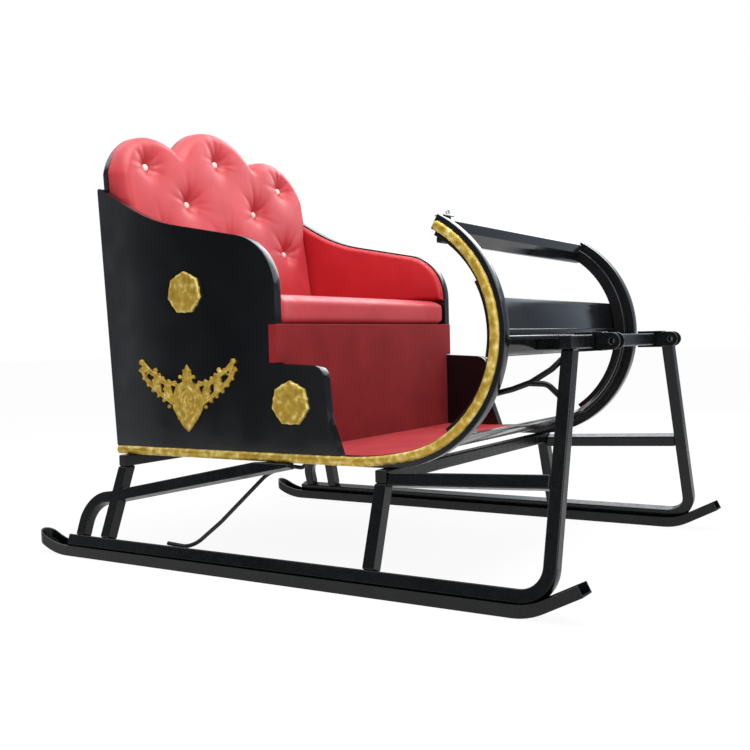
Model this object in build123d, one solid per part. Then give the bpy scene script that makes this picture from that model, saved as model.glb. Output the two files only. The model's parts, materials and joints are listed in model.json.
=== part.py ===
from build123d import *
import os
from math import asin, atan2, cos, degrees, hypot, radians, sin, sqrt, tan

# A horse-drawn two-seat sleigh: a panelled tub with a curled front, on a leaning frame of square
# steel tube that stands on two channel runners.
# Millimetres, +X forwards, +Y to the sleigh's left, +Z up, with the soles of the runners at z = 0.
# Lengths along X are first taken from the runners' front bend, and the origin is moved to the
# middle of the runners' length when the pieces are written.

# Runners: a shallow channel, flanges up, bent up at the front and swept up at the tail
runner_width = 60.0
runner_height = 32.0
runner_wall = 5.0
runner_tail_x = -1688.0
runner_tail_rise = 41.0
runner_tail_start_x = -1613.0
runner_tail_radius = 230.0
runner_tip_x = 144.0
runner_tip_angle = 27.0
runner_bend_x = 11.0
runner_bend_radius = 180.0
saddle_drop = 2.0
runner_y = 620.0

# Side frames: square tube in one plane that leans in towards the top
tube = 35.0
base_z = 44.5
base_rear_x = -1560.0
base_bend_x = 53.0
base_bend_radius = 70.0
frame_top_y = 420.0
saddle_length = 40.0
saddle_x = (-1480.0, -1386.0, -960.0, -438.0, -40.0)
mid_leg_x = -438.0
rear_leg_x = -1386.0
rear_leg_foot_x = -1402.0
side_bar_rear_z = 286.0
side_bar_front_z = 304.0
rear_hoop_foot_x = -1512.0
rear_hoop_corner_x = -1508.0
rear_hoop_corner_z = 170.0
rear_hoop_radius = 85.0
rear_hoop_end_z = 186.0
rear_stay_foot_z = 188.0
rear_stay_end_x = -752.0
rear_stay_end_z = 317.0

# The cross bar that carries the shafts, and its two couplers
shaft_bar_x = 35.0
shaft_bar_z = 637.5
shaft_bar_overhang = 6.0
coupler_y = 265.0
coupler_cheek = 8.0
coupler_gap = 28.0
coupler_height = 44.0
coupler_eye_x = 95.0
coupler_pin_hole = 16.0
coupler_strap = 7.0
coupler_strap_reach = 14.0
coupler_boss_length = 18.0
arm_width = 12.0
arm_height = 30.0
arm_drop = 5.0

# A forked brace of round rod from the right hoop's foot to the right leg: points X, Y, Z
brace_rod = 15.0
brace_stem = (
    (-152.0, -474.0, 510.0),
    (-97.0, -474.0, 523.0),
    (-50.0, -466.0, 540.0),
    (0.0, -452.0, 572.0),
    (33.0, -434.0, 608.0),
)
brace_branch = (
    (-56.0, -467.0, 538.0),
    (-8.0, -462.0, 536.0),
    (38.0, -468.0, 496.0),
)
brace_bend_radius = 34.0

# A lead that runs from the right base tube up to the floor's underside: points X, Y, Z
lead = 12.0
lead_points = (
    (-1173.0, -589.0, 62.0),
    (-1078.0, -589.0, 57.0),
    (-1016.0, -528.0, 128.0),
    (-926.0, -416.0, 262.0),
    (-858.0, -403.0, 287.0),
    (-790.0, -410.0, 284.0),
)
lead_turns = (70.0, 80.0, 60.0, 90.0, 22.0)
lead_end_x = -768.0

# Body
body_base_z = 314.0
body_half_width = 523.0
wall = 30.0
body_rear_x = -1443.0
body_rear_top_x = -1500.0
body_rear_top_z = 1162.0

# The curl: one arc about this centre carries rails, hoops, panels and floor
curl_radius = 350.0
curl_front_x = -92.0
curl_end_angle = 61.0
moulding_width = 26.0
moulding_crown = 12.0
moulding_height = 10.0
moulding_recess = 27.0
rail_lip = 1.0
blend_radius = 900.0
curl_start_angle = -56.0

# Dash
hoop_recess = 22.0
panel = 8.0
panel_side_gap = 4.0
mid_panel_low_angle = -12.0
mid_panel_high_angle = 18.6
window_corner_y = -408.0
window_corner_radius = 42.0
lower_bar_z = 633.0
lower_bar_height = 50.0
lip_z = 668.0
lip_height = 16.0
lip_depth = 7.0
top_board_low_z = 900.0
top_board_high_z = 968.0
top_board_thickness = 28.0
top_board_x = -265.0
top_board_chamfer = 10.0
top_board_under_rise = 31.0
top_board_under_depth = 14.0

# Floor: its sheet also rises inside the hoops, round a U-shaped opening
floor_sheet_thickness = 8.0
carpet_thickness = 8.0
carpet_end_angle = -63.0
opening_low_z = 398.0
opening_low_half = 420.0
opening_high_half = 446.0
opening_corner_radius = 90.0

# Walls: the top line falls in an S from the back to the front of the seat
wall_back_slope = 0.57
wall_back_radius = 640.0
wall_dip_x = -1279.0
wall_dip_z = 1036.0
wall_crest_slope = 0.20
wall_crest_radius = 168.0
wall_front_x = -799.0
wall_tip_radius = 8.0
step_high_z = 596.0
step_front_x = -638.0
step_front_z = 586.0
step_radius = 38.0
step_knee_x = -626.0
step_knee_z = 440.0
step_knee_radius = 150.0
step_toe_x = -590.0

# Seat
seat_top_z = 795.0
seat_cushion_thickness = 88.0
seat_front_x = -803.0
seat_deck_thickness = 15.0
front_board_thickness = 28.0
front_board_x = -824.0
soft_gap = 0.3
cushion_round = 22.0
pad_thickness = 22.0
pad_inset = 14.0
pad_front_inset = 26.0
pad_back_inset = 70.0
back_board_thickness = 18.0
back_cushion_low_x = -1362.0
back_cushion_high_x = -1452.0
back_cushion_high_z = 1400.0

# Scalloped back: three lobes, given as half widths from the middle and heights
back_shoulder_z = 1205.0
back_lobe_y = 345.0
back_lobe_z = 1342.0
back_valley_y = 196.0
back_valley_z = 1308.0
back_crest_z = 1408.0
back_board_rim = 6.0

# Ornaments on the outer faces of the walls
rosette_radius = 65.0
rosette_points = 7
rosette_thickness = 10.0
rosette_dome = 20.0
rosette_places = ((-1137.0, 809.0), (-750.0, 482.0))
swag_x = -1137.0
swag_z = 388.0
swag_thickness = 10.0

# Blocks that only cut others reach this far past them
clear = 100.0

# Values that follow from the ones above
half_tube = tube / 2
inner_half_width = body_half_width - wall
runner_tip_rise = (runner_tip_x - runner_bend_x) * tan(radians(runner_tip_angle))
origin_x = (runner_tail_x + runner_tip_x) / 2
lean = atan2(runner_y - frame_top_y, shaft_bar_z - base_z)
bearer_top_z = body_base_z
bearer_low_z = bearer_top_z - tube
floor_top_z = body_base_z + moulding_width + rail_lip - carpet_thickness
deck_top_z = seat_top_z - seat_cushion_thickness - soft_gap
rear_slope = (body_rear_x - body_rear_top_x) / (body_rear_top_z - body_base_z)
coupler_rear_x = shaft_bar_x - half_tube - coupler_strap_reach - coupler_strap
front_board_front_x = front_board_x + front_board_thickness
curl_x = curl_front_x - curl_radius
curl_z = body_base_z + curl_radius
hoop_outer_radius = curl_radius - hoop_recess
hoop_inner_radius = hoop_outer_radius - tube
hoop_inner_y = inner_half_width - tube
moulding_radius = curl_radius - moulding_recess
moulding_low_z = body_base_z + moulding_width / 2
rail_top_offset = moulding_width / 2 + rail_lip
rail_top_z = moulding_low_z + rail_top_offset
shaft_bar_low_z = shaft_bar_z - half_tube
shaft_bar_high_z = shaft_bar_z + half_tube

# The curl's inner lines all leave the straight floor on one wide arc about this centre
blend_z = moulding_low_z + blend_radius
blend_reach = blend_radius - moulding_radius
blend_x = curl_x - sqrt(blend_reach**2 - (blend_z - curl_z) ** 2)
blend_angle = degrees(atan2(curl_z - blend_z, curl_x - blend_x))


def box(x, y, z):
    """A block given by its limits along each axis."""
    return Pos((x[0] + x[1]) / 2, (y[0] + y[1]) / 2, (z[0] + z[1]) / 2) * Box(
        x[1] - x[0], y[1] - y[0], z[1] - z[0]
    )


def across(face, y):
    """A face drawn in X and Z, given thickness between two values of Y."""
    return extrude(Plane.XZ.offset(-y[1]) * face, y[1] - y[0])


def arc_point(radius, angle, centre=(curl_x, curl_z)):
    """A point on an arc in X and Z."""
    return (centre[0] + radius * cos(radians(angle)), centre[1] + radius * sin(radians(angle)))


def curl_line(offset, rear_x, end_angle):
    """The curl's inner line, offset inwards from the moulding's middle, from rear to end."""
    low_z = moulding_low_z + offset
    wide = blend_radius - offset
    tight = moulding_radius - offset
    flat = Line((rear_x, low_z), (blend_x, low_z))
    bend = CenterArc((blend_x, blend_z), wide, -90, blend_angle + 90)
    curl = CenterArc((curl_x, curl_z), tight, blend_angle, end_angle - blend_angle)
    return [flat, bend, curl]


def region(edges):
    """The flat face inside a closed chain of edges."""
    return make_face(edges)


def band(outer_offset, inner_offset, rear_x, end_angle):
    """A strip between two of the curl's inner lines."""
    outer = curl_line(outer_offset, rear_x, end_angle)
    inner = curl_line(inner_offset, rear_x, end_angle)
    rear = Line(outer[0] @ 0, inner[0] @ 0)
    end = Line(outer[2] @ 1, inner[2] @ 1)
    return region([*outer, *inner, rear, end])


def ring_part(outer_radius, inner_radius, start, end):
    """A piece of a ring about the curl's centre."""
    outer = CenterArc((curl_x, curl_z), outer_radius, start, end - start)
    inner = CenterArc((curl_x, curl_z), inner_radius, start, end - start)
    return region([outer, inner, Line(outer @ 0, inner @ 0), Line(outer @ 1, inner @ 1)])


# Runners
def above_sole(height):
    """Everything above the runner's sole line, raised by a height, in X and Z."""
    end_x = runner_tip_x + clear
    end_rise = (end_x - runner_bend_x) * tan(radians(runner_tip_angle))
    ceiling = end_rise + height + clear
    sole = FilletPolyline(
        (runner_tail_x, runner_tail_rise + height),
        (runner_tail_start_x, height),
        (runner_bend_x, height),
        (end_x, end_rise + height),
        radius=[runner_tail_radius, runner_bend_radius],
    )
    up_tip = Line(sole @ 1, (end_x, ceiling))
    back = Line((end_x, ceiling), (runner_tail_x, ceiling))
    down_tail = Line((runner_tail_x, ceiling), sole @ 0)
    return region([sole, up_tip, back, down_tail])


def runner():
    half = runner_width / 2
    inner_half = half - runner_wall
    reach = runner_tip_x + clear - runner_tail_x
    middle_x = runner_tail_x + reach / 2
    wide = (-runner_y - half, -runner_y + half)
    narrow = (-runner_y - inner_half, -runner_y + inner_half)
    solid = across(above_sole(0), wide) - across(above_sole(runner_height), wide)
    plan = Pos(middle_x, -runner_y) * Rectangle(reach, runner_width)
    plan = fillet(plan.vertices().sort_by(Axis.X)[:2], half - runner_wall / 5)
    solid &= extrude(plan, runner_tip_rise + clear)
    trough_plan = Pos(middle_x + runner_wall, -runner_y) * Rectangle(reach, 2 * inner_half)
    trough_plan = fillet(trough_plan.vertices().sort_by(Axis.X)[:2], inner_half - runner_wall / 5)
    trough = across(above_sole(runner_wall), narrow) & extrude(trough_plan, runner_tip_rise + clear)
    solid -= trough
    turn = radians(runner_tip_angle)
    past_x = runner_tip_x + clear * cos(turn)
    past_z = runner_tip_rise + clear * sin(turn)
    past = Pos(past_x, past_z) * Rot(0, 0, runner_tip_angle) * Rectangle(2 * clear, 2 * clear)
    solid -= across(past, wide)
    for x in saddle_x:
        solid += box(
            (x - saddle_length / 2, x + saddle_length / 2),
            narrow,
            (runner_wall, runner_height - saddle_drop),
        )
    return solid


# Side frames
frame_plane = Plane(
    origin=(0, -runner_y, base_z), x_dir=(1, 0, 0), z_dir=(0, -cos(lean), sin(lean))
)


def on_frame(x, z):
    """A point of the leaning plane at a place along X and a height."""
    return frame_plane.from_local_coords((x, (z - base_z) / cos(lean), 0))


def frame_tube(points, radii=None):
    """A square tube along points of the leaning plane, with its sides square to that plane."""
    places = [on_frame(*p) for p in points]
    path = FilletPolyline(*places, radius=radii) if radii else Line(*places)
    section = Plane(origin=path @ 0, z_dir=path % 0, x_dir=frame_plane.z_dir)
    return sweep(section * Rectangle(tube, tube), path)


def below(z):
    """All the space the sleigh takes up below a height."""
    reach_y = runner_y + runner_width
    return box(
        (runner_tail_x - clear, runner_tip_x + clear), (-reach_y, reach_y), (-clear, z)
    )


def side_frame():
    """The tubes of the right side frame, each cut to its neighbours."""
    base = frame_tube(
        [(base_rear_x, base_z), (base_bend_x, base_z), (shaft_bar_x, shaft_bar_z + clear)],
        base_bend_radius,
    )
    base &= below(shaft_bar_low_z)
    mid_leg = frame_tube([(mid_leg_x, base_z), (mid_leg_x, bearer_low_z + clear)])
    mid_leg = (mid_leg & below(bearer_low_z)) - base
    leg_lean = (rear_leg_x - rear_leg_foot_x) / (bearer_low_z - base_z)
    rear_leg = frame_tube(
        [
            (rear_leg_foot_x, base_z),
            (rear_leg_x + leg_lean * clear, bearer_low_z + clear),
        ]
    )
    rear_leg = (rear_leg & below(bearer_low_z)) - base
    side_bar = frame_tube(
        [(mid_leg_x, side_bar_rear_z), (base_bend_x - half_tube, side_bar_front_z)]
    )
    side_bar = side_bar - mid_leg - base - cross_bearer(mid_leg_x)
    side_bar = side_bar.solids().sort_by(SortBy.VOLUME)[-1]
    rear_hoop = frame_tube(
        [
            (rear_hoop_foot_x, base_z),
            (rear_hoop_corner_x, rear_hoop_corner_z),
            (rear_leg_x, rear_hoop_end_z),
        ],
        rear_hoop_radius,
    )
    rear_hoop = (rear_hoop - base - rear_leg).solids().sort_by(SortBy.VOLUME)[-1]
    rear_stay = frame_tube([(rear_leg_x, rear_stay_foot_z), (rear_stay_end_x, rear_stay_end_z)])
    rear_stay = (rear_stay & below(body_base_z)) - rear_leg
    rear_stay = rear_stay.solids().sort_by(SortBy.VOLUME)[-1]
    return {
        "base_tube": base,
        "mid_leg": mid_leg,
        "rear_leg": rear_leg,
        "side_bar": side_bar,
        "rear_hoop": rear_hoop,
        "rear_stay": rear_stay,
    }


def cross_bearer(x):
    """A tube across the frames under the body, as long as the legs stand apart."""
    top_y = runner_y - (bearer_low_z - base_z) * tan(lean)
    reach = top_y + half_tube / cos(lean)
    return box(
        (x - half_tube, x + half_tube), (-reach, reach), (bearer_low_z, bearer_top_z)
    )


def shaft_bar():
    top_y = runner_y - (shaft_bar_low_z - base_z) * tan(lean)
    reach = top_y + half_tube / cos(lean) + shaft_bar_overhang
    return box(
        (shaft_bar_x - half_tube, shaft_bar_x + half_tube),
        (-reach, reach),
        (shaft_bar_low_z, shaft_bar_high_z),
    )


def shaft_coupler():
    """A strap round the cross bar, a boss, and two cheeks with a pin hole for a shaft."""
    half = coupler_gap / 2 + coupler_cheek
    rear_x = coupler_rear_x
    front_x = shaft_bar_x + half_tube
    low_z = shaft_bar_low_z - coupler_strap
    high_z = shaft_bar_high_z + coupler_strap
    y = (-coupler_y - half, -coupler_y + half)
    solid = box((rear_x, front_x), y, (low_z, high_z))
    solid -= box((rear_x + coupler_strap, front_x), y, (shaft_bar_low_z, shaft_bar_high_z))
    boss_x = front_x + coupler_boss_length
    solid += box((front_x, boss_x), y, (low_z, high_z))
    eye = Pos(coupler_eye_x, shaft_bar_z) * Circle(coupler_height / 2)
    plate = Pos((boss_x + coupler_eye_x) / 2, shaft_bar_z) * Rectangle(
        coupler_eye_x - boss_x, coupler_height
    )
    hole = Pos(coupler_eye_x, shaft_bar_z) * Circle(coupler_pin_hole / 2)
    cheek = eye + plate - hole
    for side in (-1, 1):
        middle = -coupler_y + side * (coupler_gap + coupler_cheek) / 2
        solid += across(cheek, (middle - coupler_cheek / 2, middle + coupler_cheek / 2))
    return solid


# Side rails, hoops and mouldings
def side_rail():
    """The strip that runs under a wall and round the curl."""
    inner = curl_line(rail_top_offset, body_rear_x, curl_end_angle)
    flat = Line((body_rear_x, body_base_z), (curl_x, body_base_z))
    curl = CenterArc((curl_x, curl_z), curl_radius, -90, curl_end_angle + 90)
    rear = Line(flat @ 0, inner[0] @ 0)
    end = Line(curl @ 1, inner[2] @ 1)
    face = region([flat, curl, *inner, rear, end])
    return across(face, (-body_half_width, -inner_half_width))


def dash_hoop():
    """A bent square tube inside the rail, from the floor's front edge to the curl's end."""
    face = ring_part(hoop_outer_radius, hoop_inner_radius, curl_start_angle, curl_end_angle)
    return across(face, (-inner_half_width, -hoop_inner_y))


def rail_moulding():
    """A raised strip along the outer face of the rail."""
    path = Wire(
        [
            Plane.XZ.offset(body_half_width) * edge
            for edge in curl_line(0, body_rear_x, curl_end_angle)
        ]
    )
    start = path @ 0
    half = moulding_width / 2
    crown = moulding_crown / 2
    profile = make_face(
        Polyline(
            (-half, 0), (-crown, moulding_height), (crown, moulding_height), (half, 0), close=True
        )
    )
    section = Plane(origin=start, x_dir=(0, 0, 1), z_dir=(1, 0, 0))
    return sweep(section * profile, path)


# Walls and back
def wall_outline(inset=0.0, front_inset=0.0, back_inset=0.0):
    """The wall's upper outline from the rear top to the seat front, inset for the pads."""
    rear_x = body_rear_top_x + back_inset
    drop = hypot(1, wall_back_slope) * inset
    rear_z = body_rear_top_z - back_inset * wall_back_slope - drop
    front_x = wall_front_x - front_inset
    dip_z = wall_dip_z - inset
    crest_z = dip_z - wall_crest_slope * (front_x - wall_dip_x)
    return (rear_x, rear_z), (wall_dip_x, dip_z), (front_x, crest_z)


def side_wall():
    rear_top, dip, crest = wall_outline()
    corners = [
        (body_rear_x - (rail_top_z - body_base_z) * rear_slope, rail_top_z),
        rear_top,
        dip,
        crest,
        (wall_front_x, deck_top_z),
        (front_board_x, deck_top_z),
        (front_board_x, step_high_z),
        (step_front_x, step_front_z),
        (step_knee_x, step_knee_z),
        (step_toe_x, rail_top_z),
    ]
    rounds = {
        1: wall_tip_radius,
        2: wall_back_radius,
        3: wall_crest_radius,
        7: step_radius,
        8: step_knee_radius,
    }
    face = make_face(Polyline(*corners, close=True))
    for index, radius in rounds.items():
        corner = face.vertices().sort_by_distance(Vector(*corners[index], 0))[0]
        face = fillet(corner, radius)
    return across(face, (-body_half_width, -inner_half_width))


def scallops(rim):
    """The back's outline in Y and Z, held in by a rim all round the top."""
    side = inner_half_width - rim
    low_z = floor_top_z
    shoulder = (side, back_shoulder_z - rim)
    lobe = (back_lobe_y, back_lobe_z - rim)
    valley = (back_valley_y, back_valley_z - rim)
    crest = (0, back_crest_z - rim)
    edges = [
        Line((-side, low_z), (side, low_z)),
        Line((side, low_z), shoulder),
        ThreePointArc(shoulder, lobe, valley),
        ThreePointArc(valley, crest, (-valley[0], valley[1])),
        ThreePointArc((-valley[0], valley[1]), (-lobe[0], lobe[1]), (-side, shoulder[1])),
        Line((-side, shoulder[1]), (-side, low_z)),
    ]
    return region(edges)


def leaning_slab(rear_low_x, front_low, front_high):
    """All that lies between a plane that leans like the back and a front plane."""
    low_z = body_base_z - clear
    high_z = back_crest_z + clear

    def front_x(z):
        share = (z - front_low[1]) / (front_high[1] - front_low[1])
        return front_low[0] + share * (front_high[0] - front_low[0])

    corners = [
        (rear_low_x - rear_slope * (low_z - body_base_z), low_z),
        (rear_low_x - rear_slope * (high_z - body_base_z), high_z),
        (front_x(high_z), high_z),
        (front_x(low_z), low_z),
    ]
    face = make_face(Polyline(*corners, close=True))
    return across(face, (-inner_half_width, inner_half_width))


def board_front_x(z):
    """Where the front face of the back board is at a height."""
    return body_rear_x + back_board_thickness - rear_slope * (z - body_base_z)


def scalloped_block(rim):
    """The scalloped outline as a block that runs from behind the back to before the seat."""
    rear_x = min(body_rear_x, body_rear_top_x) - 2 * clear
    front_x = max(back_cushion_low_x, back_cushion_high_x, body_rear_x, body_rear_top_x) + clear
    return extrude(Plane.YZ.offset(rear_x) * scallops(rim), front_x - rear_x)


def back_board():
    slab = leaning_slab(
        body_rear_x,
        (board_front_x(body_base_z), body_base_z),
        (board_front_x(back_crest_z), back_crest_z),
    )
    return scalloped_block(0) & slab


def back_cushion():
    slab = leaning_slab(
        body_rear_x + back_board_thickness + soft_gap,
        (back_cushion_low_x, seat_top_z),
        (back_cushion_high_x, back_cushion_high_z),
    )
    return (scalloped_block(back_board_rim) & slab) - below(seat_top_z + soft_gap)


# Floor
def lower_opening():
    """The space left open below the dash, as a block along X with a rounded foot."""
    high_z = lower_bar_z
    corners = [
        (-opening_high_half, high_z),
        (-opening_low_half, opening_low_z),
        (opening_low_half, opening_low_z),
        (opening_high_half, high_z),
    ]
    face = make_face(Polyline(*corners, close=True))
    low_corners = face.vertices().sort_by(Axis.Y)[:2]
    face = fillet(low_corners, opening_corner_radius)
    return extrude(Plane.YZ.offset(curl_x) * face, curl_radius)


def floor_sheet():
    """The floor, as wide as the tub, and the narrower front that rises between the hoops."""
    offset = rail_top_offset - carpet_thickness - floor_sheet_thickness
    face = band(offset, offset + floor_sheet_thickness, body_rear_x, curl_start_angle)
    sheet = across(face, (-inner_half_width, inner_half_width))
    outer_radius = moulding_radius - offset
    front = ring_part(outer_radius, outer_radius - floor_sheet_thickness, curl_start_angle, 0)
    sheet += across(front, (-hoop_inner_y, hoop_inner_y))
    bar_low_z = lower_bar_z - lower_bar_height / 2
    return (sheet & below(bar_low_z)) - lower_opening()


def carpet():
    offset = rail_top_offset - carpet_thickness
    face = band(offset, rail_top_offset, front_board_front_x, carpet_end_angle)
    return across(face, (-inner_half_width, inner_half_width)) - lower_opening()


# Dash
def mid_panel():
    """A curved panel behind the hoops, whose top edge turns up round one window corner."""
    side = inner_half_width - panel_side_gap
    rise = hoop_inner_radius * sin(radians(mid_panel_high_angle))
    ear_angle = degrees(asin((rise + window_corner_radius) / hoop_inner_radius))
    face = ring_part(
        hoop_inner_radius, hoop_inner_radius - panel, mid_panel_low_angle, ear_angle
    )
    low_z = curl_z + rise
    high_z = low_z + window_corner_radius + clear
    corners = [
        (window_corner_y, low_z),
        (side + clear, low_z),
        (side + clear, high_z),
        (window_corner_y, high_z),
    ]
    window = make_face(Polyline(*corners, close=True))
    corner = window.vertices().sort_by_distance(Vector(*corners[0], 0))[0]
    window = fillet(corner, window_corner_radius)
    return across(face, (-side, side)) - extrude(Plane.YZ.offset(curl_x) * window, curl_radius)


def lower_bar():
    """The cross bar between the hoops at the foot of the middle panel."""
    angle = degrees(atan2(lower_bar_z - curl_z, curl_radius))
    rear_x = arc_point(hoop_inner_radius, angle)[0]
    block = box(
        (rear_x - tube, rear_x + tube),
        (-hoop_inner_y, hoop_inner_y),
        (lower_bar_z - lower_bar_height / 2, lower_bar_z + lower_bar_height / 2),
    )
    ring = ring_part(hoop_outer_radius, hoop_inner_radius, curl_start_angle, curl_end_angle)
    return block & across(ring, (-hoop_inner_y, hoop_inner_y))


def panel_lip():
    """A narrow ledge along the middle panel, above the cross bar."""
    angle = degrees(atan2(lip_z - curl_z, curl_radius))
    half = degrees(lip_height / 2 / hoop_inner_radius)
    face = ring_part(hoop_inner_radius + lip_depth, hoop_inner_radius, angle - half, angle + half)
    return across(face, (-hoop_inner_y, hoop_inner_y))


def top_board():
    """The board between the rails at the curl's end, with a chamfer above and a slope below."""
    rear_x = top_board_x - top_board_thickness
    corners = [
        (rear_x, top_board_low_z),
        (top_board_x - top_board_under_depth, top_board_low_z),
        (top_board_x, top_board_low_z + top_board_under_rise),
        (top_board_x, top_board_high_z - top_board_chamfer),
        (top_board_x - top_board_chamfer, top_board_high_z),
        (rear_x, top_board_high_z),
    ]
    face = make_face(Polyline(*corners, close=True))
    board = across(face, (-inner_half_width, inner_half_width))
    board = board - right_hoop - mirror(right_hoop, about=Plane.XZ)
    return board.solids().sort_by(SortBy.VOLUME)[-1]


def shaft_arm():
    """A flat bar from the dash's cross bar to the shaft bar, behind each coupler."""
    middle_z = shaft_bar_z - arm_drop
    arm = box(
        (curl_x + (hoop_outer_radius + hoop_inner_radius) / 2, coupler_rear_x),
        (-coupler_y - arm_width / 2, -coupler_y + arm_width / 2),
        (middle_z - arm_height / 2, middle_z + arm_height / 2),
    )
    return arm - lower_bar()


def bent_rod(thickness, points, radii):
    """A round rod along points, bent to an arc at each of them."""
    path = FilletPolyline(*points, radius=radii)
    return sweep(Plane(origin=path @ 0, z_dir=path % 0) * Circle(thickness / 2), path)


def forked_brace():
    """The rod from the right hoop to the leg, with its lower branch."""
    rod = bent_rod(brace_rod, brace_stem, brace_bend_radius)
    rod += bent_rod(brace_rod, brace_branch, brace_bend_radius)
    rod = rod - base - right_hoop - right_rail
    return rod.solids().sort_by(SortBy.VOLUME)[-1]


def lead_cable():
    """The lead along its whole route, ending square on the floor's underside."""
    points = [*lead_points, (lead_end_x, lead_points[-1][1], body_base_z + clear)]
    cable = bent_rod(lead, points, lead_turns)
    sheet_low_z = floor_top_z - floor_sheet_thickness
    return cable & below(sheet_low_z)


# Seat
def seat_front_board():
    x = (front_board_x, front_board_front_x)
    upper = box(x, (-body_half_width, body_half_width), (step_high_z, deck_top_z))
    lower = box(x, (-inner_half_width, inner_half_width), (floor_top_z, step_high_z))
    return upper + lower


def seat_deck():
    block = box(
        (min(body_rear_x, body_rear_top_x), front_board_x),
        (-inner_half_width, inner_half_width),
        (deck_top_z - seat_deck_thickness, deck_top_z),
    )
    return (block - hard_back).solids().sort_by(Axis.X)[-1]


def seat_cushion():
    low_z = seat_top_z - seat_cushion_thickness
    side = inner_half_width - soft_gap
    rear_x = min(body_rear_x, body_rear_top_x)
    block = box((rear_x, seat_front_x), (-side, side), (low_z, seat_top_z))
    behind = leaning_slab(
        rear_x - 2 * clear,
        (board_front_x(body_base_z) + soft_gap, body_base_z),
        (board_front_x(back_crest_z) + soft_gap, back_crest_z),
    )
    block = block - behind
    front = block.edges().filter_by(Axis.Y).sort_by(Axis.X)[-2:]
    return fillet(front, cushion_round)


def side_pad():
    """The padded lining of a wall, held in from the wall's edges."""
    rear_top, dip, crest = wall_outline(pad_inset, pad_front_inset, pad_back_inset)
    low_z = seat_top_z + soft_gap
    corners = [
        (rear_top[0], low_z),
        rear_top,
        dip,
        crest,
        (crest[0], low_z),
    ]
    face = make_face(Polyline(*corners, close=True))
    rounds = {2: wall_back_radius, 3: wall_crest_radius - pad_front_inset}
    for index, radius in rounds.items():
        corner = face.vertices().sort_by_distance(Vector(*corners[index], 0))[0]
        face = fillet(corner, radius)
    pad = across(
        face, (-inner_half_width + soft_gap, -inner_half_width + soft_gap + pad_thickness)
    )
    return (pad - soft_back - hard_back).solids().sort_by(SortBy.VOLUME)[-1]


# Ornaments
def rosette(x, z):
    """The backing shape of a rosette: a seven-sided boss that rises to a smaller flat."""
    outline = RegularPolygon(rosette_radius, rosette_points, rotation=90)
    rise = rosette_dome - rosette_thickness
    body = extrude(outline, rosette_thickness)
    body += Pos(0, 0, rosette_thickness) * extrude(
        scale(outline, 0.5 + rise / rosette_radius), rise, taper=45
    )
    place = Plane(origin=(x, -body_half_width, z), x_dir=(1, 0, 0), z_dir=(0, -1, 0))
    return place * body


# The swag's right half: across from its middle and up from its tip, then mirrored
swag_outline = (
    (0, 0),
    (55, 52),
    (80, 76),
    (122, 120),
    (148, 138),
    (186, 192),
    (186, 216),
    (172, 226),
    (152, 208),
    (112, 178),
    (88, 164),
    (44, 152),
    (40, 172),
    (22, 182),
    (0, 208),
)


def swag():
    """The backing shape of the leaf swag: two wings that rise from an oval middle."""
    left = [(-x, z) for x, z in reversed(swag_outline[1:-1])]
    face = make_face(Polyline(*swag_outline, *left, close=True))
    place = Plane(origin=(swag_x, -body_half_width, swag_z), x_dir=(1, 0, 0), z_dir=(0, -1, 0))
    return place * extrude(face, swag_thickness)


soft_back = back_cushion()
hard_back = back_board()
frame_parts = side_frame()
base = frame_parts["base_tube"]
right_rail = side_rail()
right_hoop = dash_hoop()
pieces = {
    "rear_bearer": cross_bearer(rear_leg_x),
    "mid_bearer": cross_bearer(mid_leg_x),
    "shaft_bar": shaft_bar(),
    "back_board": hard_back,
    "back_cushion": soft_back,
    "floor_sheet": floor_sheet(),
    "floor_carpet": carpet(),
    "dash_mid_panel": mid_panel(),
    "dash_lower_bar": lower_bar(),
    "dash_lip": panel_lip(),
    "dash_top_board": top_board(),
    "seat_front_board": seat_front_board(),
    "seat_deck": seat_deck(),
    "seat_cushion": seat_cushion(),
    "forked_brace": forked_brace(),
    "lead_cable": lead_cable(),
}
right_side = {
    "runner": runner() - base,
    **frame_parts,
    "shaft_coupler": shaft_coupler(),
    "shaft_arm": shaft_arm(),
    "side_rail": right_rail,
    "dash_hoop": right_hoop,
    "rail_moulding": rail_moulding(),
    "side_wall": side_wall(),
    "side_pad": side_pad(),
    "swag": swag(),
    "rosette_upper": rosette(*rosette_places[0]),
    "rosette_lower": rosette(*rosette_places[1]),
}
for name, piece in right_side.items():
    pieces[name + "_right"] = piece
    pieces[name + "_left"] = mirror(piece, about=Plane.XZ)

os.makedirs("parts", exist_ok=True)
for name, piece in pieces.items():
    placed = Pos(-origin_x, 0, 0) * piece
    export_step(placed, "parts/" + name + ".step")
    print(name, len(placed.solids()), round(placed.volume))
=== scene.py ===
# %% [markdown]
# # A two-seat horse sleigh
# The sleigh's shapes come from its CAD pieces. This lesson loads them, gives every piece the
# finish it has on the real sleigh, builds the soft and carved pieces that CAD keeps plain, and
# sets up one plain studio picture of it all.

# %% Load the CAD pieces
import json
import math
import random

import bmesh
import bpy
import numpy as np
from mathutils import Matrix, Vector, noise


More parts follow.
